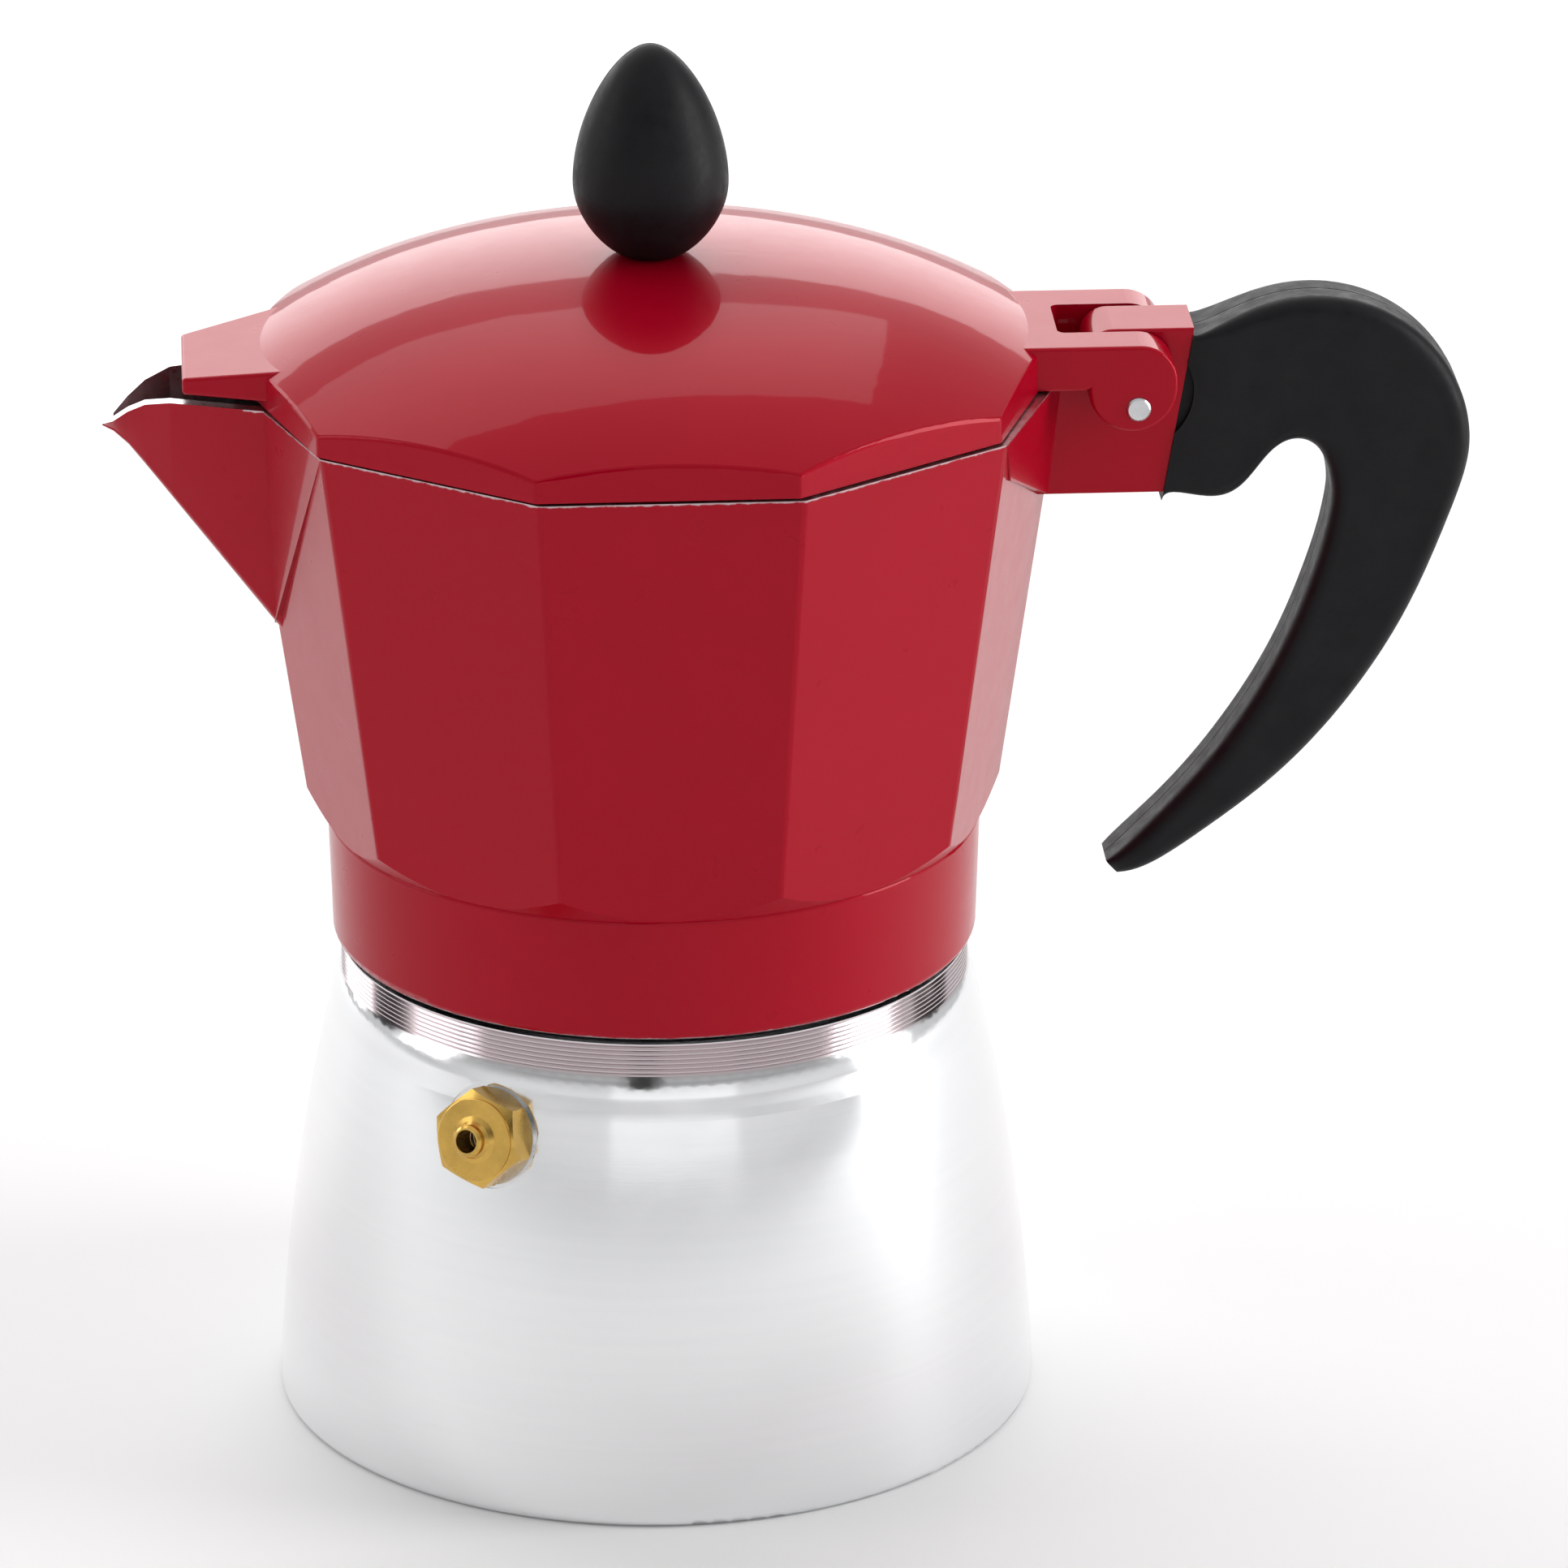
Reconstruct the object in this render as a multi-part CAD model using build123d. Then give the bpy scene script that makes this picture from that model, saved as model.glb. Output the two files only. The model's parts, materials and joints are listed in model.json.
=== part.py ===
from build123d import *
import os
from math import cos, radians, sin, sqrt, tan

# Stovetop moka pot, three-cup size, built as its separate pieces.
# Frame: origin at the centre of the boiler's bottom face, +Z up, +X towards the handle,
# so the spout points along -X. Millimetres and degrees.

# Boiler: a turned aluminium water chamber with a threaded neck
BASE_RADIUS = 45.0
WALL = 2.6
FLOOR = 3.0
SHOULDER_RADIUS = 38.4
SHOULDER_Z = 48.2
BAND_RADIUS = 36.95
BAND_BOTTOM_Z = 53.3
BAND_TOP_Z = 57.3
BAND_PITCH = 0.56
BAND_GROOVE = 0.22
NECK_TOP_Z = 70.0
NECK_BORE = 30.4
THREAD_ROOT = 33.2
THREAD_CREST = 34.1
THREAD_PITCH = 1.8
THREAD_TURNS = 5

# Safety valve, square to the sloping boiler wall
VALVE_ANGLE = 32.0
VALVE_TILT = 13.2
VALVE_Z = 44.85
VALVE_SEAT_X = 38.7
WASHER_THICKNESS = 0.5
HEX_THICKNESS = 3.8
HEX_RADIUS = 5.8
FACE_RADIUS = 4.75
FACE_STEP = 0.35
HEX_TURN = 16.0
SHANK_RADIUS = 4.0
SHANK_START = 31.6
VALVE_CHAMBER = 2.5
NOZZLE_RADIUS = 1.85
NOZZLE_HOLE = 1.35
NOZZLE_LENGTH = 1.7
BALL_RADIUS = 2.0
SPRING_WIRE = 0.25

# Coffee funnel and its perforated disc
FUNNEL_RADIUS = 29.4
FUNNEL_SHEET = 0.9
FLANGE_RADIUS = 32.1
BASKET_FLOOR_Z = 50.0
STEM_RADIUS = 4.6
STEM_BOTTOM_Z = 6.0

# Seal and filter plate under the collector
SEAL_BOTTOM_Z = NECK_TOP_Z + FUNNEL_SHEET
SEAL_TOP_Z = 74.3
SEAL_OUTER = 32.1
SEAL_INNER = 25.2
PLATE_SHEET = 0.6
PLATE_FLANGE = 28.4

# Collector: decagonal jug with a round screw collar
SIDES = 10
RIM_Z = 125.93
RIM_RADIUS = 47.9
TAPER = 7.75
COLLAR_BOTTOM_Z = 57.95
COLLAR_TOP_Z = 72.85
COLLAR_TOP_RADIUS = 38.25
COLLAR_BOTTOM_RADIUS = 37.85
COLLAR_BORE = 34.5
SHOULDER_SLOPE = 1.19
JUG_WALL = 2.3
JUG_FLOOR_Z = 79.0

# Riser column inside the jug
COLUMN_FOOT = 10.0
COLUMN_TOP_Z = 114.0
COLUMN_BORE = 3.0

# Hinge block, pin and lid ears
PIN_X = 55.4
PIN_Z = 123.9
PIN_RADIUS = 1.4
BLOCK_HALF = 4.5
BLOCK_BOTTOM_Z = 111.6
TONGUE_X = 49.8
TONGUE_TOP_Z = 131.45
BLOCK_END_LOW_X = 59.03
BLOCK_END_SLOPE = 0.1678
EAR_INNER = 5.15
EAR_OUTER = 10.9
EAR_END_X = 59.95
SLOT_END_X = 46.5

# Lid
LID_BOTTOM_Z = 126.2
LID_RADIUS = 47.75
LID_SHIFT = -0.5
LID_APEX_Z = 140.6
DOME_SQUARE = 0.003484
DOME_FOURTH = 7.295e-7
LID_SKIN = 1.9
KNOB_SEAT_Z = 140.5
COVER_END_X = -54.1
COVER_HALF = 8.15
COVER_GROWTH = 0.342
COVER_BOTTOM_Z = 127.1
COVER_TOP_Z = 129.0
COVER_RISE = 0.168

# Knob
KNOB_TOP_Z = 165.4
KNOB_RADIUS = 8.95
INSERT_RADIUS = 2.4
SCREW_RADIUS = 1.4

# Handle
HANDLE_HALF = 4.8
SCALLOP_RADIUS = 7.0
TENON_HALF = 2.4
TENON_LOW_Z = 114.2
TENON_HIGH_Z = 120.4
TENON_X = 50.4
HANDLE_SCREW_X = 53.3

# Radial clearance of the parts that turn on a pin or screw
FIT = 0.05


def turned(curve):
    """Solid of revolution about Z; the curve is drawn as (radius, height)."""
    return revolve(Plane.XZ * make_face(curve), Axis.Z, 360)


def turned_polygon(*points):
    return turned(Polyline(*points, close=True))


def cylinder_z(radius, low, high, x=0.0, y=0.0):
    return Pos(x, y, (low + high) / 2) * Cylinder(radius, high - low)


def ring_z(outer, inner, low, high):
    return cylinder_z(outer, low, high) - cylinder_z(inner, low - 1, high + 1)


def slab(outline, half_width):
    """An outline drawn in the XZ plane, extruded the same way to both sides of Y = 0."""
    return extrude(Plane.XZ * make_face(outline), amount=half_width, both=True)


def box_between(low, high):
    size = [b - a for a, b in zip(low, high)]
    middle = [(a + b) / 2 for a, b in zip(low, high)]
    return Pos(*middle) * Box(*size)


def decagon_frustum(radius, low, high, at_z):
    """Decagonal frustum widening upwards; radius is its corner radius at the height at_z."""
    growth = tan(radians(TAPER)) / cos(radians(180 / SIDES))
    start = radius - (at_z - low) * growth
    outline = Plane.XY.offset(low) * RegularPolygon(start, SIDES)
    return extrude(outline, amount=high - low, taper=-TAPER)


def upright_edges(solid):
    return solid.edges().filter_by(lambda edge: abs(edge.tangent_at(0.5).Z) > 0.9)


def on_valve_axis(solid):
    """Move a piece built along +X at the origin's height onto the valve's axis."""
    tilted = Pos(VALVE_SEAT_X, 0, 0) * Rot(0, -VALVE_TILT, 0) * Pos(-VALVE_SEAT_X, 0, 0) * solid
    return Pos(0, 0, VALVE_Z) * Rot(0, 0, 270 - VALVE_ANGLE) * tilted


def turned_x(*points):
    """Solid of revolution about X; the points are (distance along X, radius)."""
    face = make_face(Polyline(*points, close=True))
    return revolve(face, Axis.X, 360)


def wall_arc(offset, low, high):
    """The boiler wall's gentle curve, moved inwards by offset."""
    return ThreePointArc(
        (BASE_RADIUS - offset, low),
        (42.72 - offset, 25.0),
        (SHOULDER_RADIUS - offset, high),
    )


def boiler():
    outside = [
        Line((0, 0), (BASE_RADIUS - 1.0, 0)),
        ThreePointArc((BASE_RADIUS - 1.0, 0), (BASE_RADIUS - 0.3, 0.3), (BASE_RADIUS, 1.0)),
        wall_arc(0, 1.0, SHOULDER_Z),
        Spline(
            (SHOULDER_RADIUS, SHOULDER_Z),
            (BAND_RADIUS, BAND_BOTTOM_Z),
            tangents=[(-0.24, 1), (-0.75, 1)],
        ),
    ]
    grooves = int((BAND_TOP_Z - BAND_BOTTOM_Z) / BAND_PITCH)
    teeth = [(BAND_RADIUS, BAND_BOTTOM_Z)]
    for index in range(grooves):
        low = BAND_BOTTOM_Z + index * BAND_PITCH
        teeth += [
            (BAND_RADIUS - BAND_GROOVE, low + 0.5 * BAND_PITCH),
            (BAND_RADIUS, low + 0.75 * BAND_PITCH),
            (BAND_RADIUS, low + BAND_PITCH),
        ]
    teeth += [(BAND_RADIUS, BAND_TOP_Z), (THREAD_ROOT, BAND_TOP_Z)]
    thread_start = BAND_TOP_Z + 1.3
    for turn in range(THREAD_TURNS):
        low = thread_start + turn * THREAD_PITCH
        teeth += [
            (THREAD_ROOT, low),
            (THREAD_CREST, low + 0.35 * THREAD_PITCH),
            (THREAD_CREST, low + 0.55 * THREAD_PITCH),
            (THREAD_ROOT, low + 0.9 * THREAD_PITCH),
        ]
    teeth += [
        (THREAD_ROOT, NECK_TOP_Z - 0.5),
        (THREAD_ROOT - 0.5, NECK_TOP_Z),
        (NECK_BORE, NECK_TOP_Z),
        (NECK_BORE, SHOULDER_Z + 3.4),
    ]
    inner_top = SHOULDER_RADIUS - WALL
    inside = [
        Line((NECK_BORE, SHOULDER_Z + 3.4), (inner_top, SHOULDER_Z - 0.6)),
        ThreePointArc(
            (inner_top, SHOULDER_Z - 0.6), (42.72 - WALL, 24.4), (BASE_RADIUS - WALL - 0.3, 8.0)
        ),
        ThreePointArc((BASE_RADIUS - WALL - 0.3, 8.0), (40.6, 4.6), (37.0, FLOOR)),
        Line((37.0, FLOOR), (0, FLOOR)),
        Line((0, FLOOR), (0, 0)),
    ]
    body = turned(Curve() + outside + [Polyline(*teeth)] + inside)
    seat_radius = HEX_RADIUS + 0.4
    seat = turned_x((VALVE_SEAT_X, 0), (VALVE_SEAT_X, seat_radius), (50, seat_radius), (50, 0))
    hole = turned_x((25, 0), (25, SHANK_RADIUS), (50, SHANK_RADIUS), (50, 0))
    boss = turned_x((33, 0), (33, 7.0), (37.2, 6.0), (37.2, 0))
    return body + on_valve_axis(boss) - on_valve_axis(seat) - on_valve_axis(hole)


def valve_washer():
    end = VALVE_SEAT_X + WASHER_THICKNESS
    outer = HEX_RADIUS - 0.1
    return on_valve_axis(
        turned_x((VALVE_SEAT_X, SHANK_RADIUS), (VALVE_SEAT_X, outer), (end, outer), (end, SHANK_RADIUS))
    )


def valve_body():
    start = VALVE_SEAT_X + WASHER_THICKNESS
    front = start + HEX_THICKNESS
    tip = front + NOZZLE_LENGTH
    hexagon = Plane.YZ.offset(start) * Rot(0, 0, -HEX_TURN) * RegularPolygon(HEX_RADIUS, 6)
    hexagon = extrude(hexagon, amount=HEX_THICKNESS - FACE_STEP)
    hex_front = front - FACE_STEP
    chamfer_cone = turned_x(
        (start - 1, 0), (start - 1, 8.0), (hex_front - 0.7, 6.0), (hex_front, FACE_RADIUS), (hex_front, 0)
    )
    turned_part = turned_x(
        (SHANK_START, 0),
        (SHANK_START, SHANK_RADIUS - 0.5),
        (SHANK_START + 0.5, SHANK_RADIUS),
        (start, SHANK_RADIUS),
        (start, FACE_RADIUS),
        (front - 0.1, FACE_RADIUS),
        (front, FACE_RADIUS - 0.1),
        (front, NOZZLE_RADIUS + 0.9),
        (front + 0.3, NOZZLE_RADIUS + 0.35),
        (front + 0.7, NOZZLE_RADIUS),
        (tip - 0.3, NOZZLE_RADIUS),
        (tip, NOZZLE_RADIUS - 0.3),
        (tip, 0),
    )
    chamber = turned_x(
        (SHANK_START - 1, 0),
        (SHANK_START - 1, VALVE_CHAMBER),
        (front - 1.5, VALVE_CHAMBER),
        (front - 1.5, NOZZLE_HOLE),
        (tip + 1, NOZZLE_HOLE),
        (tip + 1, 0),
    )
    return on_valve_axis((hexagon & chamfer_cone) + turned_part - chamber)


def valve_seat():
    start = SHANK_START + 0.3
    return on_valve_axis(
        turned_x((start, 1.2), (start, VALVE_CHAMBER), (start + 2.2, VALVE_CHAMBER), (start + 2.2, 1.2))
    )


def ball_x():
    """Distance of the ball's centre from the pot's axis when it closes the seat."""
    return SHANK_START + 2.5 + sqrt(BALL_RADIUS**2 - 1.2**2) + 0.02


def valve_ball():
    return on_valve_axis(Pos(ball_x(), 0, 0) * Sphere(BALL_RADIUS))


def valve_spring():
    start = ball_x() + 1.35
    end = VALVE_SEAT_X + WASHER_THICKNESS + HEX_THICKNESS - 1.5
    length = end - start - 2 * SPRING_WIRE
    radius = 1.8
    path = Helix(pitch=length / 4.5, height=length, radius=radius)
    profile = Plane(origin=path @ 0, z_dir=path % 0) * Circle(SPRING_WIRE)
    coil = sweep(profile, path=path, is_frenet=True)
    return on_valve_axis(Pos(start + SPRING_WIRE, 0, 0) * Rot(0, 90, 0) * coil)


def funnel():
    sheet = FUNNEL_SHEET
    cone_top = BASKET_FLOOR_Z - 5.5
    return turned_polygon(
        (FLANGE_RADIUS, NECK_TOP_Z + sheet),
        (FLANGE_RADIUS, NECK_TOP_Z),
        (FUNNEL_RADIUS, NECK_TOP_Z),
        (FUNNEL_RADIUS - 0.6, BASKET_FLOOR_Z - 1.0),
        (FUNNEL_RADIUS - 2.0, BASKET_FLOOR_Z - 2.2),
        (STEM_RADIUS + 2.0, cone_top),
        (STEM_RADIUS, cone_top - 2.5),
        (STEM_RADIUS, STEM_BOTTOM_Z),
        (STEM_RADIUS - sheet, STEM_BOTTOM_Z),
        (STEM_RADIUS - sheet, cone_top - 2.2),
        (STEM_RADIUS + 1.7, cone_top + sheet),
        (FUNNEL_RADIUS - 2.4, BASKET_FLOOR_Z - 1.3),
        (FUNNEL_RADIUS - 3.0, BASKET_FLOOR_Z - 0.8),
        (FUNNEL_RADIUS - 3.0, BASKET_FLOOR_Z),
        (FUNNEL_RADIUS - 0.6 - sheet, BASKET_FLOOR_Z),
        (FUNNEL_RADIUS - sheet, NECK_TOP_Z + sheet),
    )


def perforated(disc, first_radius, rings, spacing, hole_radius, low, high):
    """Cut rings of small holes, evenly spaced, through a disc."""
    punches = [cylinder_z(hole_radius, low, high)]
    for ring in range(rings):
        radius = first_radius + ring * spacing
        count = int(2 * 3.14159 * radius / spacing)
        punch = cylinder_z(hole_radius, low, high, x=radius)
        punches += [Rot(0, 0, 360 * step / count) * punch for step in range(count)]
    return disc - punches


def funnel_filter():
    low = BASKET_FLOOR_Z
    radius = FUNNEL_RADIUS - 0.6 - FUNNEL_SHEET - 0.1
    disc = cylinder_z(radius, low, low + 0.7)
    return perforated(disc, 4.0, 6, 4.0, 0.8, low - 1, low + 2)


def gasket():
    step = SEAL_TOP_Z - PLATE_SHEET
    return turned_polygon(
        (SEAL_INNER, SEAL_BOTTOM_Z),
        (SEAL_OUTER, SEAL_BOTTOM_Z),
        (SEAL_OUTER, SEAL_TOP_Z),
        (PLATE_FLANGE + 0.1, SEAL_TOP_Z),
        (PLATE_FLANGE + 0.1, step),
        (SEAL_INNER, step),
    )


def filter_plate():
    low = SEAL_BOTTOM_Z + 0.5
    wall = SEAL_INNER - 0.1
    pan = turned_polygon(
        (0, low),
        (wall, low),
        (wall, SEAL_TOP_Z - PLATE_SHEET),
        (PLATE_FLANGE, SEAL_TOP_Z - PLATE_SHEET),
        (PLATE_FLANGE, SEAL_TOP_Z),
        (wall - PLATE_SHEET, SEAL_TOP_Z),
        (wall - PLATE_SHEET, low + PLATE_SHEET),
        (0, low + PLATE_SHEET),
    )
    return perforated(pan, 3.6, 5, 3.6, 0.7, low - 1, low + 1.5)


def rim_corner(number):
    """One of the decagon's corners on the jug's rim; number 0 is at the spout."""
    angle = radians(number * 360 / SIDES)
    return (-RIM_RADIUS * cos(angle), -RIM_RADIUS * sin(angle), RIM_Z)


def spout_section(x, half_width, top, bottom, nose):
    """A rounded V across the spout at one x, closed along the rim."""
    side = nose * 0.85
    foot = bottom + nose * 0.6
    outline = Curve() + [
        Line((x, -side, foot), (x, -half_width, top)),
        Line((x, -half_width, top), (x, half_width, top)),
        Line((x, half_width, top), (x, side, foot)),
        ThreePointArc((x, side, foot), (x, 0, bottom), (x, -side, foot)),
    ]
    return make_face(outline)


# Spout sections: x, half width at the rim, rim height, keel height, keel radius
SPOUT = [
    (-40.0, 12.7, RIM_Z, 91.4, 2.4),
    (-44.5, 11.2, RIM_Z, 97.3, 2.4),
    (-50.0, 9.3, RIM_Z, 104.7, 2.2),
    (-55.5, 7.4, RIM_Z, 112.1, 2.0),
    (-58.4, 5.3, RIM_Z - 0.85, 116.0, 1.8),
    (-60.4, 3.7, RIM_Z - 2.2, 118.6, 1.4),
    (-62.1, 2.3, RIM_Z - 3.8, 120.2, 0.9),
    (-63.4, 0.9, RIM_Z - 4.6, 120.9, 0.4),
]


def spout_outside():
    return loft([spout_section(*row) for row in SPOUT], ruled=True)


def spout_channel():
    rows = [(-34.0, 13.4, RIM_Z + 0.8, 87.0, 1.6)]
    for x, half_width, top, bottom, nose in SPOUT[:-1]:
        rows.append((x, half_width - 1.45, top + 0.8, bottom + 2.6 - (-40 - x) * 0.05, nose * 0.7))
    return loft([spout_section(*row) for row in rows], ruled=True)


def pad(corners, inward, depth):
    """A facet's outline, thickened towards the pot's axis, with its mirror image."""
    face = make_face(Polyline(*corners, close=True))
    solid = extrude(face, amount=depth, dir=inward)
    solid = solid & box_between((-80, -80, 0), (80, 80, RIM_Z))
    return solid + solid.mirror(Plane.XZ)


def spout_flare():
    """Steeper facets that carry the jug's rim out to the spout's side walls."""
    corner = rim_corner(1)
    edge = (-44.9, -11.05, RIM_Z)
    heel = (-44.0, -1.2, 96.6)
    return pad([corner, edge, heel], (0.95, 0.32, 0), 4.0)


def hinge_block():
    end_top = BLOCK_END_LOW_X + (TONGUE_TOP_Z - BLOCK_BOTTOM_Z) * BLOCK_END_SLOPE
    outline = Polyline(
        (38, BLOCK_BOTTOM_Z),
        (BLOCK_END_LOW_X, BLOCK_BOTTOM_Z),
        (end_top, TONGUE_TOP_Z),
        (TONGUE_X, TONGUE_TOP_Z),
        (TONGUE_X, RIM_Z),
        (38, RIM_Z),
        close=True,
    )
    block = slab(outline, BLOCK_HALF)
    corner = block.edges().filter_by(Axis.Y).sort_by_distance((TONGUE_X, 0, TONGUE_TOP_Z))[0]
    block = fillet(corner, 3.2)
    long_edges = [
        edge
        for edge in block.edges()
        if edge.center().X > TONGUE_X - 0.1 and abs(abs(edge.center().Y) - BLOCK_HALF) < 0.1
        and edge.center().Z > RIM_Z
    ]
    return fillet(long_edges, 0.35)


def gusset():
    """Upright facets that join the jug to the hinge block."""
    corner = rim_corner(4)
    top = (47.1, -BLOCK_HALF, RIM_Z)
    foot = (45.6, -BLOCK_HALF, BLOCK_BOTTOM_Z + 0.1)
    along = [b - a for a, b in zip(corner, top)]
    down = [b - a for a, b in zip(top, foot)]
    side = tuple(c + 0.17 * u + 0.4 * v for c, u, v in zip(corner, along, down))
    return pad([corner, top, foot, side], (-0.95, 0.32, 0), 4.0)


def collar():
    """Round skirt under the jug with rounded top and bottom edges."""
    top, wide = COLLAR_TOP_Z, COLLAR_TOP_RADIUS
    low, narrow = COLLAR_BOTTOM_Z, COLLAR_BOTTOM_RADIUS
    return turned(
        Curve()
        + [
            Polyline((0, low), (0, top + 3.0), (wide - 2.0, top + 3.0), (wide - 0.5, top + 0.35)),
            ThreePointArc((wide - 0.5, top + 0.35), (wide - 0.1, top), (wide, top - 0.6)),
            Line((wide, top - 0.6), (narrow, low + 1.2)),
            ThreePointArc((narrow, low + 1.2), (narrow - 0.3, low + 0.35), (narrow - 1.1, low)),
            Line((narrow - 1.1, low), (0, low)),
        ]
    )


def collector():
    jug = decagon_frustum(RIM_RADIUS, COLLAR_TOP_Z - 1.0, RIM_Z, RIM_Z)
    jug = fillet(upright_edges(jug), 1.3)
    reach = 20.0
    envelope = turned_polygon(
        (0, COLLAR_TOP_Z - 1.0),
        (COLLAR_TOP_RADIUS - 1.0 / SHOULDER_SLOPE, COLLAR_TOP_Z - 1.0),
        (COLLAR_TOP_RADIUS, COLLAR_TOP_Z),
        (COLLAR_TOP_RADIUS + reach, COLLAR_TOP_Z + reach * SHOULDER_SLOPE),
        (COLLAR_TOP_RADIUS + reach, RIM_Z + 1),
        (0, RIM_Z + 1),
    )
    jug = jug & envelope
    body = jug + collar() + spout_outside() + spout_flare() + gusset() + hinge_block()
    cavity_radius = RIM_RADIUS - JUG_WALL / cos(radians(180 / SIDES))
    cavity = decagon_frustum(cavity_radius, JUG_FLOOR_Z, RIM_Z + 1.0, RIM_Z)
    cavity = fillet(upright_edges(cavity), 5.0)
    cavity = fillet(cavity.edges().group_by(Axis.Z)[0], 2.5)
    body = body - cavity - spout_channel() - collar_bore()
    body = body - handle_socket() - pin_hole(PIN_RADIUS)
    return body - cylinder_z(COLUMN_FOOT, SEAL_TOP_Z, JUG_FLOOR_Z + 1)


def collar_bore():
    """Screw socket under the jug, with ridges that stand in for its thread."""
    points = [(0, COLLAR_BOTTOM_Z - 1), (COLLAR_BORE + 1.2, COLLAR_BOTTOM_Z - 1)]
    points += [(COLLAR_BORE + 1.2, COLLAR_BOTTOM_Z + 0.6)]
    first = BAND_TOP_Z + 1.3 + 0.55 * THREAD_PITCH
    for turn in range(THREAD_TURNS):
        low = first + turn * THREAD_PITCH
        points += [
            (COLLAR_BORE, low - 0.3),
            (COLLAR_BORE, low),
            (COLLAR_BORE + 0.6, low + 0.35 * THREAD_PITCH),
            (COLLAR_BORE + 0.6, low + 0.5 * THREAD_PITCH),
        ]
    points += [
        (COLLAR_BORE, NECK_TOP_Z - 1.0),
        (COLLAR_BORE, NECK_TOP_Z + 0.5),
        (SEAL_OUTER + 0.35, NECK_TOP_Z + 0.5),
        (SEAL_OUTER + 0.35, SEAL_TOP_Z),
        (SEAL_INNER - 1.2, SEAL_TOP_Z),
        (COLUMN_FOOT, JUG_FLOOR_Z - 2.2),
        (0, JUG_FLOOR_Z - 2.2),
    ]
    return turned_polygon(*points)


def handle_socket():
    """Pocket for the handle's tenon, open at the block's slanted end, and its screw hole."""
    gap = 0.1
    pocket = box_between(
        (TENON_X - gap, -TENON_HALF - gap, TENON_LOW_Z - gap),
        (70, TENON_HALF + gap, TENON_HIGH_Z + gap),
    )
    shank = cylinder_z(1.35, BLOCK_BOTTOM_Z - 1, TENON_LOW_Z, x=HANDLE_SCREW_X)
    head = cylinder_z(2.0, BLOCK_BOTTOM_Z - 1, BLOCK_BOTTOM_Z + 1.2, x=HANDLE_SCREW_X)
    return pocket + shank + head


def pin_hole(radius):
    return Pos(PIN_X, 0, PIN_Z) * Rot(90, 0, 0) * Cylinder(radius, 60)


def column():
    """Riser tube pressed into the jug's floor, closed on top, with two side outlets."""
    tube = turned_polygon(
        (COLUMN_BORE, JUG_FLOOR_Z - 2.2),
        (COLUMN_FOOT, JUG_FLOOR_Z - 2.2),
        (COLUMN_FOOT, JUG_FLOOR_Z + 2.0),
        (8.2, JUG_FLOOR_Z + 5.0),
        (5.4, COLUMN_TOP_Z - 4.0),
        (5.0, COLUMN_TOP_Z - 1.4),
        (3.4, COLUMN_TOP_Z),
        (0, COLUMN_TOP_Z),
        (0, COLUMN_TOP_Z - 2.2),
        (COLUMN_BORE, COLUMN_TOP_Z - 2.2),
    )
    outlet = box_between((-8, -1.4, COLUMN_TOP_Z - 7.0), (8, 1.4, COLUMN_TOP_Z - 2.4))
    return tube - outlet


def dome_z(radius):
    return LID_APEX_Z - DOME_SQUARE * radius**2 - DOME_FOURTH * radius**4


def dome_solid(drop, reach):
    """Everything under the dome's curve, lowered by drop, out to a radius of reach."""
    points = [(radius, dome_z(radius) - drop) for radius in (0, reach / 3, reach * 2 / 3, reach)]
    low = LID_BOTTOM_Z - 2.0
    end_slope = -2 * DOME_SQUARE * reach - 4 * DOME_FOURTH * reach**3
    return turned(
        Curve()
        + [
            Spline(*points, tangents=[(1, 0), (1, end_slope)]),
            Line(points[-1], (reach, low)),
            Line((reach, low), (0, low)),
            Line((0, low), points[0]),
        ]
    )


def lid_cover():
    """Flat tongue over the spout, widening towards the dome."""
    root_x = -38.0
    root_half = COVER_HALF + (root_x - COVER_END_X) * COVER_GROWTH
    plan = Plane.XY * make_face(
        Polyline(
            (COVER_END_X, -COVER_HALF),
            (root_x, -root_half),
            (root_x, root_half),
            (COVER_END_X, COVER_HALF),
            close=True,
        )
    )
    column_of_cover = Pos(0, 0, 120) * extrude(plan, amount=20)
    side = Polyline(
        (COVER_END_X - 1, COVER_BOTTOM_Z),
        (root_x, COVER_BOTTOM_Z),
        (root_x, COVER_TOP_Z + (root_x - COVER_END_X) * COVER_RISE),
        (COVER_END_X - 1, COVER_TOP_Z - COVER_RISE),
        close=True,
    )
    cover = column_of_cover & slab(side, 20)
    outer = [edge for edge in cover.edges() if edge.center().X < root_x - 0.5]
    return fillet(outer, 0.45)


def ear_outline():
    """Side outline of the lid's bracket: level top, rounded end, half-round lobe at the pin."""
    lobe_radius = 5.15
    lobe_x = EAR_END_X - lobe_radius
    lobe_z = 126.35
    end_round = 4.4
    top = TONGUE_TOP_Z
    return Curve() + [
        Line((38, LID_BOTTOM_Z), (38, top)),
        Line((38, top), (EAR_END_X - end_round, top)),
        ThreePointArc(
            (EAR_END_X - end_round, top),
            (EAR_END_X - end_round * 0.293, top - end_round * 0.293),
            (EAR_END_X, top - end_round),
        ),
        Line((EAR_END_X, top - end_round), (EAR_END_X, lobe_z)),
        ThreePointArc(
            (EAR_END_X, lobe_z), (lobe_x, lobe_z - lobe_radius), (lobe_x - lobe_radius, lobe_z)
        ),
        Line((lobe_x - lobe_radius, lobe_z), (lobe_x - lobe_radius - 0.4, LID_BOTTOM_Z)),
        Line((lobe_x - lobe_radius - 0.4, LID_BOTTOM_Z), (38, LID_BOTTOM_Z)),
    ]


def bracket_slot():
    """The opening between the lid's ears, with rounded inner corners."""
    slot = box_between((SLOT_END_X, -EAR_INNER, 110), (70, EAR_INNER, 140))
    return fillet(slot.edges().filter_by(Axis.Z).group_by(Axis.X)[0], 1.0)


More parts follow.
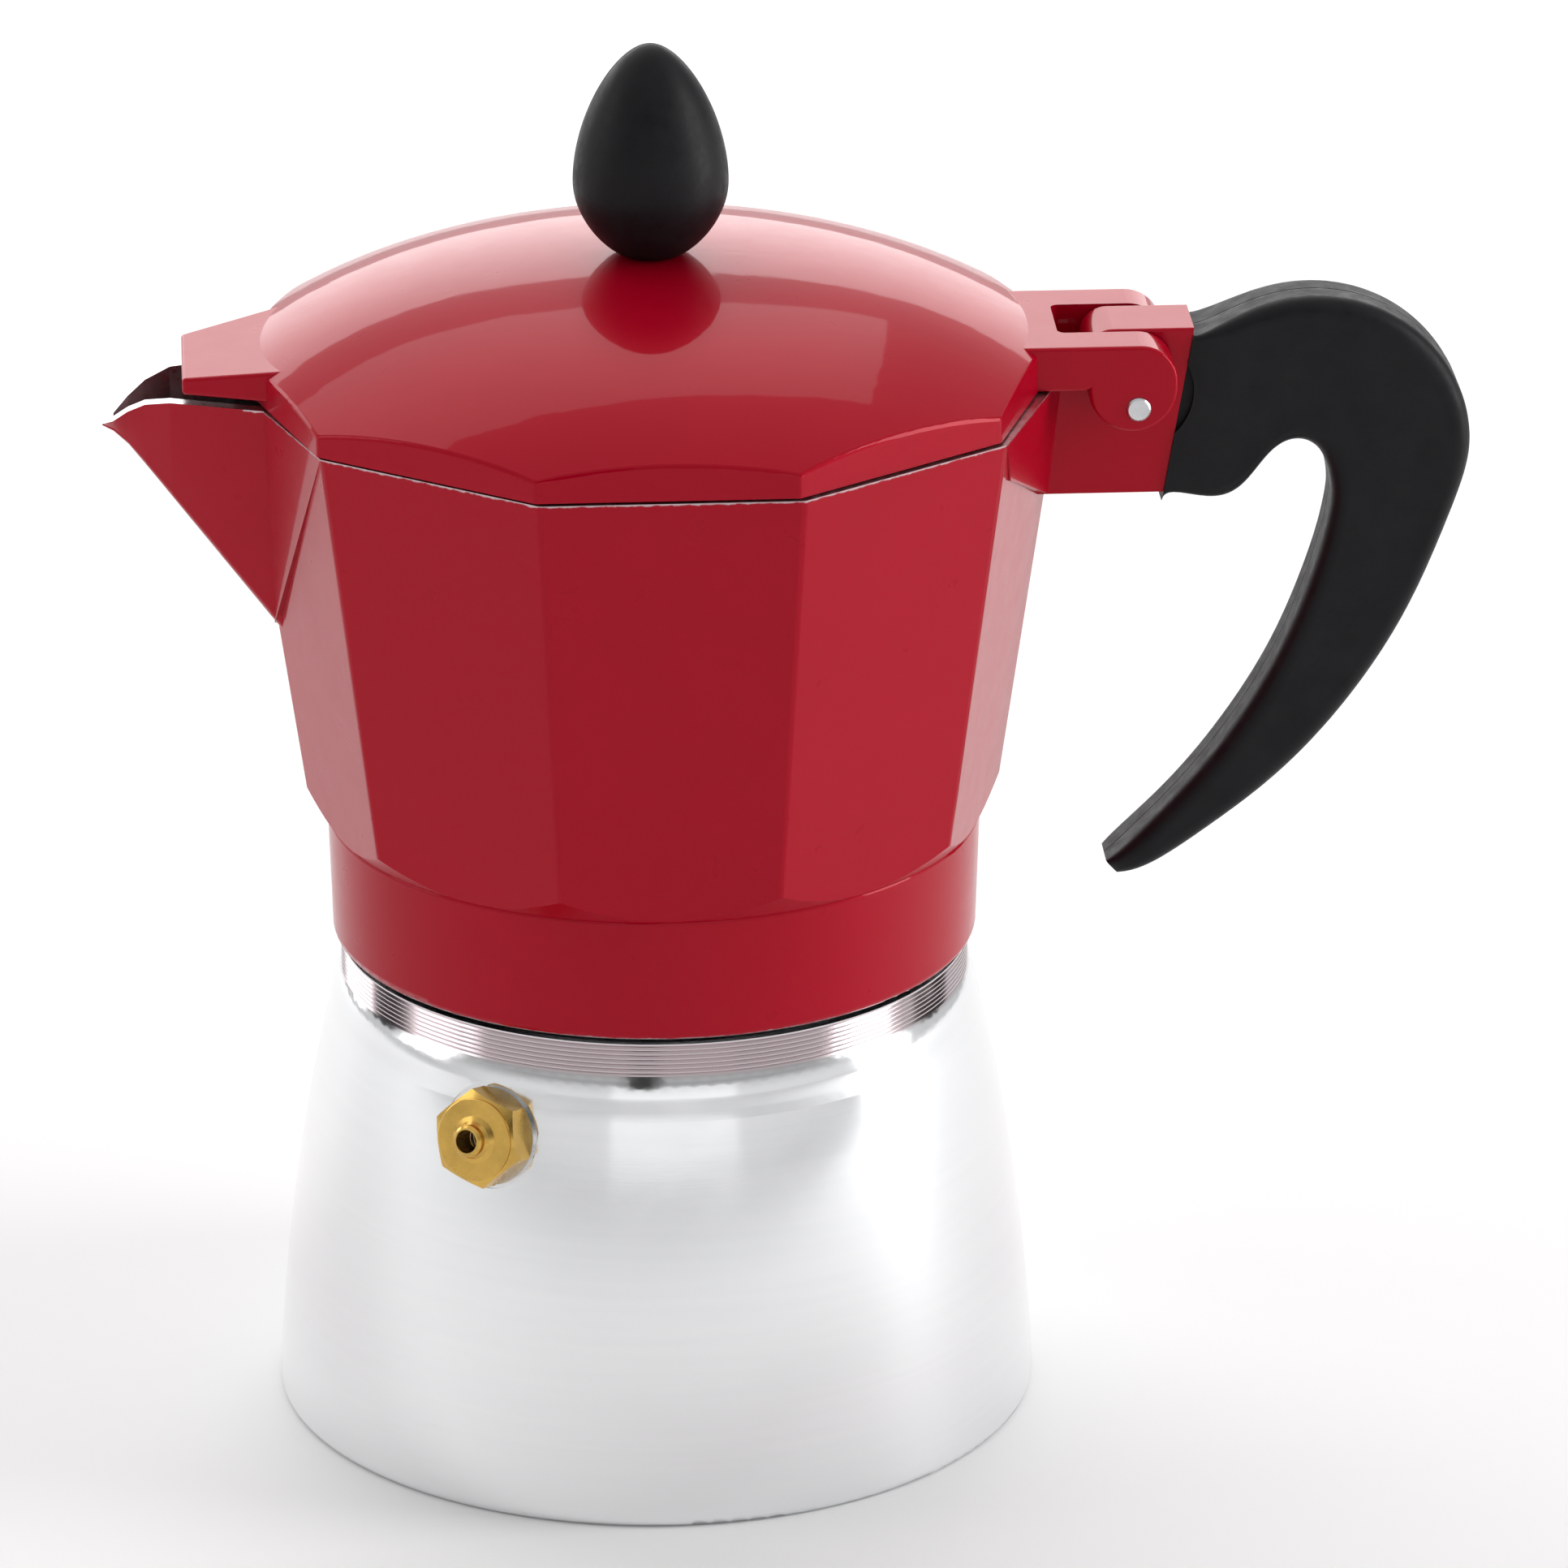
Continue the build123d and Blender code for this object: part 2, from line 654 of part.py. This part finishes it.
def lid_bracket():
    bracket = slab(ear_outline(), EAR_OUTER)
    outer = [
        edge
        for edge in bracket.edges()
        if abs(abs(edge.center().Y) - EAR_OUTER) < 0.01 and edge.center().X > 38.5
    ]
    return fillet(outer, 0.5)


def lid():
    skirt = Plane.XY.offset(LID_BOTTOM_Z) * RegularPolygon(LID_RADIUS, SIDES)
    skirt = Pos(LID_SHIFT, 0, 0) * extrude(skirt, amount=20)
    skirt = fillet(upright_edges(skirt), 0.8)
    shell = skirt & dome_solid(0, LID_RADIUS + 1.0)
    edges_on_top = [edge for edge in shell.edges() if edge.center().Z > LID_BOTTOM_Z + 1.5]
    shell = fillet([edge for edge in edges_on_top if edge.length > 5], 0.6)
    body = shell + lid_cover() + lid_bracket() - bracket_slot()
    inner_radius = LID_RADIUS - 2.4
    inner = Plane.XY.offset(LID_BOTTOM_Z - 1) * RegularPolygon(inner_radius, SIDES)
    inner = fillet(upright_edges(extrude(inner, amount=30)), 3.0)
    hollow = inner & dome_solid(LID_SKIN, LID_RADIUS + 1.0)
    hollow = hollow - cylinder_z(5.5, 138.0, 145.0)
    body = body - hollow
    body = body - cylinder_z(4.2, KNOB_SEAT_Z, 150)
    return body - cylinder_z(SCREW_RADIUS + 0.2, 130, 150) - pin_hole(PIN_RADIUS + FIT)


def hinge_pin():
    pin = Pos(PIN_X, 0, PIN_Z) * Rot(90, 0, 0) * Cylinder(PIN_RADIUS, 2 * EAR_OUTER + 0.5)
    return chamfer(pin.edges().filter_by(GeomType.CIRCLE), 0.2)


def knob():
    """Egg-shaped knob, widest about a third of the way up, with a flat seat."""
    base = KNOB_SEAT_Z
    waist = base + 8.7
    profile = Curve() + [
        Line((0, base), (3.3, base)),
        Bezier((3.3, base), (5.6, base + 0.9), (KNOB_RADIUS, base + 4.6), (KNOB_RADIUS, waist)),
        Bezier((KNOB_RADIUS, waist), (KNOB_RADIUS, waist + 7.5), (3.9, KNOB_TOP_Z), (0, KNOB_TOP_Z)),
        Line((0, KNOB_TOP_Z), (0, base)),
    ]
    return turned(profile) - cylinder_z(INSERT_RADIUS, base - 1, base + 8.7)


def knob_insert():
    return ring_z(INSERT_RADIUS, SCREW_RADIUS + FIT, KNOB_SEAT_Z, KNOB_SEAT_Z + 8.7)


def knob_washer():
    return ring_z(3.8, SCREW_RADIUS + 0.15, 137.4, 138.0)


def knob_screw():
    shank = cylinder_z(SCREW_RADIUS, 136.5, KNOB_SEAT_Z + 7.5)
    head = cylinder_z(3.0, 135.4, 137.4)
    head = fillet(head.edges().group_by(Axis.Z)[0], 0.8)
    slot_low = 135.4
    cross = box_between((-2.0, -0.4, slot_low - 1), (2.0, 0.4, slot_low + 1.1))
    return shank + head - cross - Rot(0, 0, 90) * cross


# Grip cross-sections from the hinge block to the tip: (x, z) of the finger side,
# (x, z) of the outside, half thickness and corner radius
GRIP = [
    ((58.84, 110.45), (62.24, 130.70), 4.8, 0.6),
    ((65.60, 110.60), (66.90, 132.20), 4.8, 1.6),
    ((69.60, 113.30), (71.80, 134.00), 4.8, 2.1),
    ((72.40, 116.50), (77.50, 134.50), 4.8, 2.1),
    ((75.30, 117.20), (84.20, 132.80), 4.8, 2.1),
    ((77.50, 115.60), (90.20, 128.30), 4.8, 2.1),
    ((78.60, 112.60), (93.70, 122.60), 4.8, 2.1),
    ((78.70, 108.80), (94.80, 115.60), 4.8, 2.1),
    ((77.20, 102.20), (92.10, 106.10), 4.8, 2.1),
    ((74.30, 94.00), (87.00, 94.20), 4.8, 2.1),
    ((70.30, 85.90), (79.20, 82.40), 4.8, 2.1),
    ((64.90, 77.80), (71.30, 74.20), 4.8, 2.1),
    ((57.70, 69.60), (61.80, 67.00), 4.7, 1.9),
    ((54.30, 66.20), (56.90, 64.30), 4.3, 1.3),
    ((53.10, 65.10), (54.50, 63.60), 3.2, 0.6),
]


def grip_section(inner, outer, half_thickness, corner):
    across = Vector(outer[0] - inner[0], 0, outer[1] - inner[1])
    middle = ((inner[0] + outer[0]) / 2, 0, (inner[1] + outer[1]) / 2)
    plane = Plane(origin=middle, x_dir=across, z_dir=across.cross(Vector(0, 1, 0)))
    return plane * RectangleRounded(across.length, 2 * half_thickness, corner)


def handle():
    grip = loft([grip_section(*row) for row in GRIP])
    scallop = Pos(PIN_X, 0, PIN_Z) * Rot(90, 0, 0) * Cylinder(SCALLOP_RADIUS, 30)
    keep = Pos(PIN_X, 0, PIN_Z) * Rot(90, 0, 0) * Cylinder(SCALLOP_RADIUS + 1, 2 * (HANDLE_HALF - 0.8))
    grip = grip - (scallop - keep)
    tenon = box_between((TENON_X, -TENON_HALF, TENON_LOW_Z), (66, TENON_HALF, TENON_HIGH_Z))
    hole = cylinder_z(1.25, TENON_LOW_Z - 1, TENON_HIGH_Z - 1.0, x=HANDLE_SCREW_X)
    return grip + tenon - hole


def handle_screw():
    shank = cylinder_z(1.25, BLOCK_BOTTOM_Z + 0.6, TENON_HIGH_Z - 1.0, x=HANDLE_SCREW_X)
    head = cylinder_z(1.9, BLOCK_BOTTOM_Z - 0.3, BLOCK_BOTTOM_Z + 1.2, x=HANDLE_SCREW_X)
    slot_top = BLOCK_BOTTOM_Z + 0.3
    slot = box_between((HANDLE_SCREW_X - 3, -0.3, 105), (HANDLE_SCREW_X + 3, 0.3, slot_top))
    return shank + head - slot


PIECES = [
    boiler,
    valve_washer,
    valve_body,
    valve_seat,
    valve_ball,
    valve_spring,
    funnel,
    funnel_filter,
    gasket,
    filter_plate,
    collector,
    column,
    hinge_pin,
    handle,
    handle_screw,
    lid,
    knob,
    knob_insert,
    knob_washer,
    knob_screw,
]

os.makedirs("parts", exist_ok=True)
for piece in PIECES:
    export_step(piece(), os.path.join("parts", piece.__name__ + ".step"))
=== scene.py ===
import bpy
import json
import math
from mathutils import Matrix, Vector

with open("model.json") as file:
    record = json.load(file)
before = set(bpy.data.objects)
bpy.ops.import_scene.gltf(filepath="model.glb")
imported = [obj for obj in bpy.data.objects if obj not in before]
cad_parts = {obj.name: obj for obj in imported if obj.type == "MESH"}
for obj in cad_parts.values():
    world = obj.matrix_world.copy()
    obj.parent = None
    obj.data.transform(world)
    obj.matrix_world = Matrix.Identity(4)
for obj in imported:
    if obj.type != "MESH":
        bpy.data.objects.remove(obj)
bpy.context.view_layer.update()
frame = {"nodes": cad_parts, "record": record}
nodes = frame["nodes"]

# Heights of the jug's rim, the collar's lower edge and the foot of the boiler's ribbed band
RIM_Z = 0.12593
COLLAR_Z = 0.05795
BAND_Z = 0.0533


# ---------------------------------------------------------------- materials
def material(name):
    mat = bpy.data.materials.new(name)
    mat.use_nodes = True
    tree = mat.node_tree
    tree.nodes.clear()
    out = tree.nodes.new("ShaderNodeOutputMaterial")
    shader = tree.nodes.new("ShaderNodeBsdfPrincipled")
    tree.links.new(shader.outputs["BSDF"], out.inputs["Surface"])
    return mat, tree, shader


def node(tree, kind, **settings):
    made = tree.nodes.new(kind)
    for key, value in settings.items():
        if key in made.inputs:
            made.inputs[key].default_value = value
        else:
            setattr(made, key, value)
    return made


def object_xyz(tree):
    """The object's own coordinates, split into X, Y and Z."""
    where = node(tree, "ShaderNodeTexCoord")
    parts = node(tree, "ShaderNodeSeparateXYZ")
    tree.links.new(where.outputs["Object"], parts.inputs["Vector"])
    return parts.outputs


def noise(tree, scale, detail=4.0, roughness=0.6, stretch=(1, 1, 1)):
    """A noise value over object coordinates; stretch squeezes or draws out its grain."""
    where = node(tree, "ShaderNodeTexCoord")
    mapping = node(tree, "ShaderNodeMapping")
    mapping.inputs["Scale"].default_value = stretch
    tree.links.new(where.outputs["Object"], mapping.inputs["Vector"])
    made = node(tree, "ShaderNodeTexNoise", Scale=scale, Detail=detail, Roughness=roughness)
    tree.links.new(mapping.outputs["Vector"], made.inputs["Vector"])
    return made.outputs["Fac"]


def turned_noise(tree, around, along, detail=3.0, scale=1.0):
    """Noise drawn out round the Z axis, like the marks a lathe or a polishing wheel leaves."""
    xyz = object_xyz(tree)
    angle = node(tree, "ShaderNodeMath", operation="ARCTAN2")
    tree.links.new(xyz["Y"], angle.inputs[0])
    tree.links.new(xyz["X"], angle.inputs[1])
    joined = node(tree, "ShaderNodeCombineXYZ")
    tree.links.new(math_of(tree, "MULTIPLY", angle.outputs[0], around), joined.inputs["X"])
    tree.links.new(math_of(tree, "MULTIPLY", xyz["Z"], along), joined.inputs["Y"])
    made = node(tree, "ShaderNodeTexNoise", Scale=scale, Detail=detail, Roughness=0.65)
    tree.links.new(joined.outputs["Vector"], made.inputs["Vector"])
    return made.outputs["Fac"]


def math_of(tree, operation, a, b):
    made = node(tree, "ShaderNodeMath", operation=operation)
    for index, value in enumerate((a, b)):
        if isinstance(value, (int, float)):
            made.inputs[index].default_value = value
        else:
            tree.links.new(value, made.inputs[index])
    return made.outputs[0]


def spread(tree, value, low, high, from_low=0.3, from_high=0.7):
    made = node(tree, "ShaderNodeMapRange")
    made.inputs["From Min"].default_value = from_low
    made.inputs["From Max"].default_value = from_high
    made.inputs["To Min"].default_value = low
    made.inputs["To Max"].default_value = high
    tree.links.new(value, made.inputs["Value"])
    return made.outputs["Result"]


def bump(tree, shader, heights):
    """Chain of bumps: (height value, distance in metres, strength)."""
    last = None
    for height, distance, strength in heights:
        made = node(tree, "ShaderNodeBump")
        made.inputs["Strength"].default_value = strength
        made.inputs["Distance"].default_value = distance
        tree.links.new(height, made.inputs["Height"])
        if last is not None:
            tree.links.new(last, made.inputs["Normal"])
        last = made.outputs["Normal"]
    tree.links.new(last, shader.inputs["Normal"])


def mix_colour(tree, factor, a, b):
    made = node(tree, "ShaderNodeMix", data_type="RGBA")
    made.inputs["A"].default_value = (*a, 1)
    made.inputs["B"].default_value = (*b, 1)
    tree.links.new(factor, made.inputs["Factor"])
    return made.outputs["Result"]


def blend(tree, factor, colour_socket, colour):
    made = node(tree, "ShaderNodeMix", data_type="RGBA")
    tree.links.new(factor, made.inputs["Factor"])
    tree.links.new(colour_socket, made.inputs["A"])
    made.inputs["B"].default_value = (*colour, 1)
    return made.outputs["Result"]


def rim_highlight_and_bare_collar(tree):
    """1 along the jug's rim, a painted highlight for the lid seam drawn as rubbed-through lacquer, and on
    the collar's lower edge, which is bare metal.
    """
    xyz = object_xyz(tree)
    x_squared = math_of(tree, "MULTIPLY", xyz["X"], xyz["X"])
    y_squared = math_of(tree, "MULTIPLY", xyz["Y"], xyz["Y"])
    radius = math_of(tree, "SQRT", math_of(tree, "ADD", x_squared, y_squared), 0.0)
    on_jug = spread(tree, radius, 1.0, 0.0, 0.0482, 0.0484)
    ragged = spread(tree, noise(tree, 900.0, 4.0), -0.00014, 0.00014)
    height = math_of(tree, "ADD", xyz["Z"], ragged)
    above = spread(tree, height, 0.0, 1.0, RIM_Z - 0.00026, RIM_Z - 0.00010)
    under_lid = spread(tree, xyz["Z"], 1.0, 0.0, RIM_Z + 0.00004, RIM_Z + 0.00014)
    # The rim band is a painted highlight for the bright line at the lid seam, drawn as rubbed-through
    # lacquer; the collar's lower edge is bare metal.
    rim = math_of(tree, "MULTIPLY", math_of(tree, "MULTIPLY", above, under_lid), on_jug)
    collar = spread(tree, height, 1.0, 0.0, COLLAR_Z + 0.00030, COLLAR_Z + 0.00042)
    return math_of(tree, "MAXIMUM", rim, collar)


def red_enamel():
    """Metallic red lacquer under a thin clear coat, with faint orange peel, a bare collar edge, and a
    painted highlight along the jug's rim drawn as rubbed-through lacquer.
    """
    mat, tree, shader = material("red_enamel")
    tone = spread(tree, noise(tree, 70.0), 0.0, 1.0)
    lacquer = mix_colour(tree, tone, (0.374, 0.0003, 0.0125), (0.390, 0.0004, 0.0140))
    bare_and_highlight = rim_highlight_and_bare_collar(tree)
    # Pinkish metal colour: a painted highlight along the jug's rim, and the bare metal of the collar's
    # lower edge.
    colour = blend(tree, bare_and_highlight, lacquer, (0.55, 0.42, 0.44))
    tree.links.new(colour, shader.inputs["Base Color"])
    tree.links.new(spread(tree, bare_and_highlight, 0.15, 0.95, 0.0, 1.0), shader.inputs["Metallic"])
    tree.links.new(spread(tree, noise(tree, 240.0, 6.0), 0.27, 0.33), shader.inputs["Roughness"])
    shader.inputs["Specular IOR Level"].default_value = 0.02
    tree.links.new(spread(tree, bare_and_highlight, 0.52, 0.0, 0.0, 1.0), shader.inputs["Coat Weight"])
    shader.inputs["Coat Roughness"].default_value = 0.045
    shader.inputs["Coat IOR"].default_value = 1.36
    bump(tree, shader, [(noise(tree, 420.0, 2.0), 0.00002, 0.06), (noise(tree, 60.0, 2.0), 0.0002, 0.02)])
    return mat


def polished_aluminium():
    """Wheel-polished aluminium: fine marks drawn round the body, softly uneven sheen, and a painted
    reflection of the red collar on the ribbed band.
    """
    mat, tree, shader = material("polished_aluminium")
    tone = spread(tree, turned_noise(tree, 1.2, 900.0), 0.0, 1.0)
    metal = mix_colour(tree, tone, (0.855, 0.862, 0.875), (0.88, 0.885, 0.895))
    xyz = object_xyz(tree)
    # Pinkish colour on the ribbed band below the collar: a painted reflection of the red collar.
    above_foot = spread(tree, xyz["Z"], 0.0, 1.0, BAND_Z - 0.0004, BAND_Z + 0.0002)
    below_neck = spread(tree, xyz["Z"], 1.0, 0.0, COLLAR_Z - 0.0008, COLLAR_Z - 0.0006)
    collar_reflection_band = math_of(tree, "MULTIPLY", above_foot, below_neck)
    colour = blend(tree, collar_reflection_band, metal, (0.62, 0.53, 0.55))
    tree.links.new(colour, shader.inputs["Base Color"])
    shader.inputs["Metallic"].default_value = 1.0
    tree.links.new(spread(tree, noise(tree, 110.0, 7.0), 0.10, 0.17), shader.inputs["Roughness"])
    bump(
        tree,
        shader,
        [
            (turned_noise(tree, 3.0, 3200.0), 0.00002, 0.06),
            (noise(tree, 170.0, 5.0, stretch=(1, 1, 2.5)), 0.00006, 0.06),
            (noise(tree, 30.0, 3.0), 0.0003, 0.04),
        ],
    )
    return mat


def plain_metal(name, colour, rough, turned=True):
    mat, tree, shader = material(name)
    light = tuple(min(1.0, c * 1.08) for c in colour)
    dark = tuple(c * 0.80 for c in colour)
    tone = spread(tree, noise(tree, 260.0, 5.0), 0.0, 1.0)
    tree.links.new(mix_colour(tree, tone, dark, light), shader.inputs["Base Color"])
    shader.inputs["Metallic"].default_value = 1.0
    wear = noise(tree, 700.0, 6.0)
    tree.links.new(spread(tree, wear, rough * 0.8, rough * 1.3), shader.inputs["Roughness"])
    grain = turned_noise(tree, 2.0, 2600.0) if turned else noise(tree, 1500.0, 4.0)
    bump(tree, shader, [(grain, 0.00002, 0.2)])
    return mat


def black_plastic():
    """Moulded black plastic with a fine spark-eroded grain and a faint parting line."""
    mat, tree, shader = material("black_plastic")
    tone = spread(tree, noise(tree, 300.0, 4.0), 0.0, 1.0)
    colour = mix_colour(tree, tone, (0.0070, 0.0068, 0.0082), (0.0110, 0.0108, 0.0125))
    tree.links.new(colour, shader.inputs["Base Color"])
    tree.links.new(spread(tree, noise(tree, 600.0, 6.0), 0.38, 0.55), shader.inputs["Roughness"])
    shader.inputs["Specular IOR Level"].default_value = 0.16
    xyz = object_xyz(tree)
    off_plane = math_of(tree, "ABSOLUTE", xyz["Y"], 0.0)
    seam = spread(tree, off_plane, 0.0, 1.0, 0.00003, 0.00022)
    bump(
        tree,
        shader,
        [
            (noise(tree, 2200.0, 3.0), 0.00005, 0.30),
            (noise(tree, 260.0, 3.0), 0.00012, 0.12),
            (seam, 0.00016, 0.6),
        ],
    )
    return mat


def seal_rubber():
    mat, tree, shader = material("seal_rubber")
    tone = spread(tree, noise(tree, 150.0, 4.0), 0.0, 1.0)
    colour = mix_colour(tree, tone, (0.62, 0.61, 0.56), (0.74, 0.73, 0.68))
    tree.links.new(colour, shader.inputs["Base Color"])
    tree.links.new(spread(tree, noise(tree, 400.0, 5.0), 0.55, 0.75), shader.inputs["Roughness"])
    bump(tree, shader, [(noise(tree, 1200.0, 3.0), 0.00004, 0.4)])
    return mat


SLOTS = {
    "polished_aluminium": polished_aluminium(),
    "spun_aluminium": plain_metal("spun_aluminium", (0.80, 0.80, 0.82), 0.30),
    "red_enamel": red_enamel(),
    "black_plastic": black_plastic(),
    "brass": plain_metal("brass", (0.72, 0.45, 0.11), 0.24, turned=False),
    "steel": plain_metal("steel", (0.66, 0.66, 0.68), 0.25, turned=False),
    "seal_rubber": seal_rubber(),
    "valve_washer_steel": plain_metal("valve_washer_steel", (0.66, 0.66, 0.68), 0.25, turned=False),
}
NODE_SLOT = {row["node"]: row["material_slot"] for row in frame["record"]["subparts"]}


def finish_with(obj, slot):
    obj.data.materials.clear()
    obj.data.materials.append(SLOTS[slot])


for name, obj in nodes.items():
    finish_with(obj, NODE_SLOT[name])


def bare_faces(obj, is_bare):
    """Give the faces that carry no lacquer the plain aluminium finish."""
    obj.data.materials.append(SLOTS["spun_aluminium"])
    for face in obj.data.polygons:
        if is_bare(face.center, face.normal):
            face.material_index = 1


def jug_is_bare(at, normal):
    radius = math.hypot(at.x, at.y)
    inwards = -(normal.x * at.x + normal.y * at.y) / max(radius, 1e-6)
    if at.z < 0.0745:
        return radius < 0.0373 and (inwards > 0.2 or normal.z < -0.3)
    if at.z > RIM_Z + 0.0002:
        return False
    if at.x < -0.0405 and normal.z > 0.12:
        return True
    on_rim = at.z > RIM_Z - 0.0003 and normal.z > 0.8 and at.x < 0.0462
    return on_rim or (radius < 0.0465 and at.z > 0.0765 and (inwards > 0.2 or normal.z > 0.5))


def lid_is_bare(at, normal):
    radius = math.hypot(at.x, at.y)
    inwards = -(normal.x * at.x + normal.y * at.y) / max(radius, 1e-6)
    return radius < 0.0465 and at.z > 0.1264 and (inwards > 0.2 or normal.z < -0.35)


bare_faces(nodes["collector"], jug_is_bare)
bare_faces(nodes["lid"], lid_is_bare)


# ---------------------------------------------------------------- studio
def stage_plane(name, size, location, colour, rough):
    bpy.ops.mesh.primitive_plane_add(size=size, location=location)
    plane = bpy.context.object
    plane.name = name
    mat, tree, shader = material(name)
    tone = spread(tree, noise(tree, 3.0), 0.0, 1.0)
    mottled = mix_colour(tree, tone, colour, tuple(c * 0.985 for c in colour))
    tree.links.new(mottled, shader.inputs["Base Color"])
    shader.inputs["Roughness"].default_value = rough
    plane.data.materials.append(mat)
    return plane


def area_light(name, location, target, width, height, power, colour=(1, 1, 1)):
    data = bpy.data.lights.new(name, "AREA")
    data.shape = "RECTANGLE"
    data.size = width
    data.size_y = height
    data.energy = power
    data.color = colour
    light = bpy.data.objects.new(name, data)
    bpy.context.scene.collection.objects.link(light)
    light.location = location
    direction = Vector(target) - Vector(location)
    light.rotation_euler = direction.to_track_quat("-Z", "Y").to_euler()
    light.visible_camera = False
    return light


def dark_card(name, location, target, width, height):
    """A black card, seen only in reflections, that puts a soft dark mark in the metal."""
    bpy.ops.mesh.primitive_plane_add(size=1, location=location)
    card = bpy.context.object
    card.name = name
    card.scale = (width, height, 1)
    card.rotation_euler = (Vector(target) - Vector(location)).to_track_quat("Z", "Y").to_euler()
    mat, tree, shader = material(name)
    tone = spread(tree, noise(tree, 5.0), 0.0, 1.0)
    colour = mix_colour(tree, tone, (0.01, 0.01, 0.01), (0.014, 0.014, 0.014))
    tree.links.new(colour, shader.inputs["Base Color"])
    shader.inputs["Roughness"].default_value = 0.9
    card.data.materials.append(mat)
    card.visible_camera = False
    return card


stage_plane("floor", 8.0, (0, 0, 0), (0.90, 0.90, 0.90), 0.7)

MIDDLE = (0, 0, 0.08)
area_light("box_left", (-0.80, 0.02, 0.40), MIDDLE, 0.35, 0.60, 1.0)
area_light("box_right", (0.75, -0.10, 0.30), MIDDLE, 0.30, 0.60, 3.3)
area_light("overhead_back", (-0.15, 0.60, 0.85), MIDDLE, 1.10, 0.50, 2.2)
area_light("box_front", (0.10, -1.65, 0.30), MIDDLE, 1.30, 0.50, 0.55)
area_light("box_back", (-0.25, 1.20, 0.42), MIDDLE, 2.2, 0.55, 8.5)


dark_card("card_front", (-0.157, -1.25, 0.71), MIDDLE, 0.26, 0.80)
dark_card("card_left", (-0.85, 0.42, 0.45), MIDDLE, 0.30, 0.45)
dark_card("card_right", (0.85, 0.42, 0.45), MIDDLE, 0.30, 0.45)


def studio_world():
    """Bright behind and above the object, dimmer on the camera's side."""
    world = bpy.data.worlds.new("studio")
    bpy.context.scene.world = world
    world.use_nodes = True
    tree = world.node_tree
    sky = tree.nodes["Background"]
    where = node(tree, "ShaderNodeTexCoord")
    parts = node(tree, "ShaderNodeSeparateXYZ")
    tree.links.new(where.outputs["Generated"], parts.inputs["Vector"])
    behind = spread(tree, parts.outputs["Y"], 0.36, 0.60, -0.5, 0.35)
    low = spread(tree, parts.outputs["Z"], 0.42, 0.0, 0.10, 0.42)
    in_front = spread(tree, parts.outputs["Y"], 1.0, 0.0, -0.5, 0.0)
    horizon = math_of(tree, "MULTIPLY", low, in_front)
    above = spread(tree, parts.outputs["Z"], 0.0, 0.30, 0.45, 0.95)
    total = math_of(tree, "ADD", math_of(tree, "ADD", behind, horizon), above)
    sky.inputs["Color"].default_value = (1, 1, 1, 1)
    tree.links.new(total, sky.inputs["Strength"])


studio_world()
bpy.context.scene.view_settings.view_transform = "Standard"

camera_data = bpy.data.cameras.new("camera")
camera_data.lens = 36.0 * 12000.0 / 1932.0
camera_data.sensor_width = 36.0
camera_data.clip_end = 20.0
camera = bpy.data.objects.new("camera", camera_data)
bpy.context.scene.collection.objects.link(camera)
target = Vector((0.01524, -0.00097, 0.07499))
azimuth, elevation = math.radians(-3.65), math.radians(21.17)
back = Vector(
    (
        math.sin(azimuth) * math.cos(elevation),
        -math.cos(azimuth) * math.cos(elevation),
        math.sin(elevation),
    )
)
camera.location = target + back * 1.14212
camera.rotation_mode = "QUATERNION"
camera.rotation_quaternion = (-back).to_track_quat("-Z", "Y")
bpy.context.scene.camera = camera
